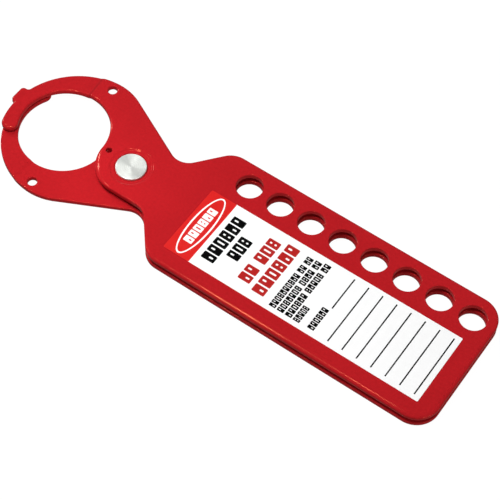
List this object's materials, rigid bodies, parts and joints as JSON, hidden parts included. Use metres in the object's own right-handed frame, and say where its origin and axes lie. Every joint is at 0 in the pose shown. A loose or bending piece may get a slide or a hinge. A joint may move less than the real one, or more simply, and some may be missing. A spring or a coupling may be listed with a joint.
{
  "type": "lockout hasp",
  "caption": "Scissor-type steel lockout hasp: two red plates on one rivet, round jaw, a row of padlock holes and a write-on label on each side.",
  "frame": {"origin": "centre of the closed jaw, on the mid-plane between the two plates", "axes": "+X along the hasp from the jaw to the padlock end, +Y towards the row of padlock holes, +Z out of the front plate"},
  "size_m": [0.22, 0.062, 0.0072],
  "materials": {
    "red_powder_coat": "glossy red powder coat on steel",
    "turned_aluminium": "bright face-turned metal with fine rings",
    "label_vinyl": "printed white write-on vinyl under a clear film",
    "label_red_ink": "red print on the label",
    "label_black_ink": "black print on the label"
  },
  "bodies": {
    "rear": {"rear_plate": "red_powder_coat", "pivot_rivet": "turned_aluminium", "rear_label": "label_vinyl"},
    "front": {"front_plate": "red_powder_coat", "front_label": "label_vinyl"}
  },
  "joints": [
    {"name": "pivot", "type": "hinge", "parent": "rear", "child": "front", "pos_m": [0.0346, 0, 0], "axis": [0, 0, -1], "range_deg": [0, 120]}
  ]
}
